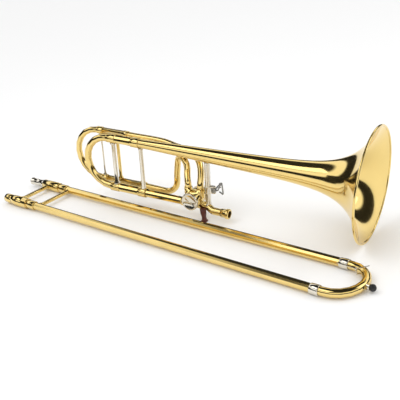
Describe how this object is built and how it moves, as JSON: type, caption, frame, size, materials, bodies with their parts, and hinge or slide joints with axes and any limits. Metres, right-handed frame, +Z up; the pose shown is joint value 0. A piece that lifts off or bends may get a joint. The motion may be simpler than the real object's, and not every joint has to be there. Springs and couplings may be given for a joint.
{
  "type": "tenor trombone",
  "caption": "Tenor trombone with a rotary valve and a second loop of tubing, taken apart: the bell section on its rim and a post, the closed hand slide lying in front of it.",
  "frame": {"origin": "on the floor at the middle of the overall box", "axes": "+X from the tuning slides towards the bell's mouth, +Y from the hand slide towards the second loop, +Z up"},
  "size_m": [0.8666, 0.3044, 0.203],
  "materials": {
    "lacquered_brass": "polished",
    "nickel_silver": "polished",
    "chrome": "polished",
    "steel": "satin",
    "black_rubber": "satin",
    "dark_leather": "satin"
  },
  "bodies": {
    "bell_section": {"bell": "lacquered_brass", "bell_rim_bead": "lacquered_brass", "upper_tuning_sleeve": "lacquered_brass", "bell_tail_ferrule": "lacquered_brass", "lower_tuning_sleeve": "lacquered_brass", "lower_sleeve_ferrule": "lacquered_brass", "lower_main_tube": "lacquered_brass", "sleeve_brace": "nickel_silver", "upper_f_sleeve": "lacquered_brass", "lower_f_sleeve": "lacquered_brass", "f_feed_tube": "lacquered_brass", "f_return_tube": "lacquered_brass", "f_sleeve_brace_left": "lacquered_brass", "f_sleeve_brace_right": "lacquered_brass", "valve_casing": "lacquered_brass", "valve_back_bearing": "nickel_silver", "valve_front_bearing": "nickel_silver", "valve_front_cap": "nickel_silver", "valve_stop_plate": "nickel_silver", "neckpipe": "lacquered_brass", "slide_receiver": "lacquered_brass", "bell_brace": "nickel_silver", "lever_saddle": "nickel_silver", "lever_pin": "steel", "rest_post": "dark_leather"},
    "main_tuning_slide": {"main_tuning_bow": "lacquered_brass", "upper_tuning_leg": "lacquered_brass", "lower_tuning_leg": "lacquered_brass", "tuning_slide_brace": "nickel_silver"},
    "f_tuning_slide": {"f_tuning_bow": "lacquered_brass", "upper_f_tuning_leg": "lacquered_brass", "lower_f_tuning_leg": "lacquered_brass", "f_tuning_slide_brace": "nickel_silver"},
    "rotor": {"rotor": "nickel_silver", "stop_arm": "steel"},
    "thumb_lever": {"thumb_lever": "steel", "thumb_loop": "steel"},
    "linkage": {"linkage_rod": "steel"},
    "hand_slide": {"mouthpiece_side_inner_tube": "chrome", "bell_side_inner_tube": "chrome", "mouthpiece_side_barrel": "lacquered_brass", "bell_side_barrel": "lacquered_brass", "inner_slide_brace": "lacquered_brass", "mouthpiece_receiver": "nickel_silver", "slide_tenon": "nickel_silver"},
    "connector_nut": {"connector_nut": "lacquered_brass"},
    "slide_lock_ring": {"slide_lock_ring": "lacquered_brass"},
    "outer_slide": {"mouthpiece_side_outer_tube": "lacquered_brass", "mouthpiece_side_top_ring": "lacquered_brass", "mouthpiece_side_bow_ring": "nickel_silver", "bell_side_outer_tube": "lacquered_brass", "bell_side_top_ring": "lacquered_brass", "bell_side_bow_ring": "nickel_silver", "slide_bow": "lacquered_brass", "outer_slide_brace": "lacquered_brass", "bumper_base": "nickel_silver", "bumper": "black_rubber", "water_key_post": "nickel_silver"},
    "water_key": {"water_key": "nickel_silver"}
  },
  "joints": [
    {"name": "hand_slide_apart", "type": "slide", "parent": "bell_section", "child": "hand_slide", "axis": [0, -1, 0], "range_m": [0, 0.2]},
    {"name": "slide_positions", "type": "slide", "parent": "hand_slide", "child": "outer_slide", "axis": [0.9799, -0.1994, -0.003], "range_m": [0, 0.57]},
    {"name": "slide_lock", "type": "hinge", "parent": "hand_slide", "child": "slide_lock_ring", "pos_m": [-0.35519, 0.00136, 0.0112], "axis": [0.9799, -0.1994, -0.003], "range_deg": [0, 40]},
    {"name": "connector_nut_turn", "type": "hinge", "parent": "hand_slide", "child": "connector_nut", "pos_m": [-0.40645, 0.01179, 0.01136], "axis": [0.9799, -0.1994, -0.003], "continuous": true},
    {"name": "water_key_press", "type": "hinge", "parent": "outer_slide", "child": "water_key", "pos_m": [0.39161, -0.08093, 0.01857], "axis": [0.0029, -0.0006, 1], "range_deg": [0, 10], "stiffness_Nm_per_rad": 0.02},
    {"name": "main_tuning", "type": "slide", "parent": "bell_section", "child": "main_tuning_slide", "axis": [-0.9951, 0, 0.0993], "range_m": [0, 0.04]},
    {"name": "f_tuning", "type": "slide", "parent": "bell_section", "child": "f_tuning_slide", "axis": [-0.9951, 0, 0.0993], "range_m": [0, 0.045]},
    {"name": "thumb_lever_press", "type": "hinge", "parent": "bell_section", "child": "thumb_lever", "pos_m": [0.07568, 0.05296, 0.06262], "axis": [-0.0993, 0, -0.9951], "range_deg": [0, 30], "stiffness_Nm_per_rad": 0.15},
    {"name": "rotor_turn", "type": "hinge", "parent": "bell_section", "child": "rotor", "pos_m": [0.0315, 0.05096, 0.04291], "axis": [0, 1, 0], "range_deg": [0, 90.5]},
    {"name": "linkage_turn", "type": "hinge", "parent": "rotor", "child": "linkage", "pos_m": [0.02256, 0.07536, 0.04611], "axis": [0, -1, 0], "range_deg": [0, 83.5]}
  ],
  "couplings": [
    {"joint": "rotor_turn", "follows": "thumb_lever_press", "ratio": 3},
    {"joint": "linkage_turn", "follows": "thumb_lever_press", "ratio": 2.757}
  ]
}
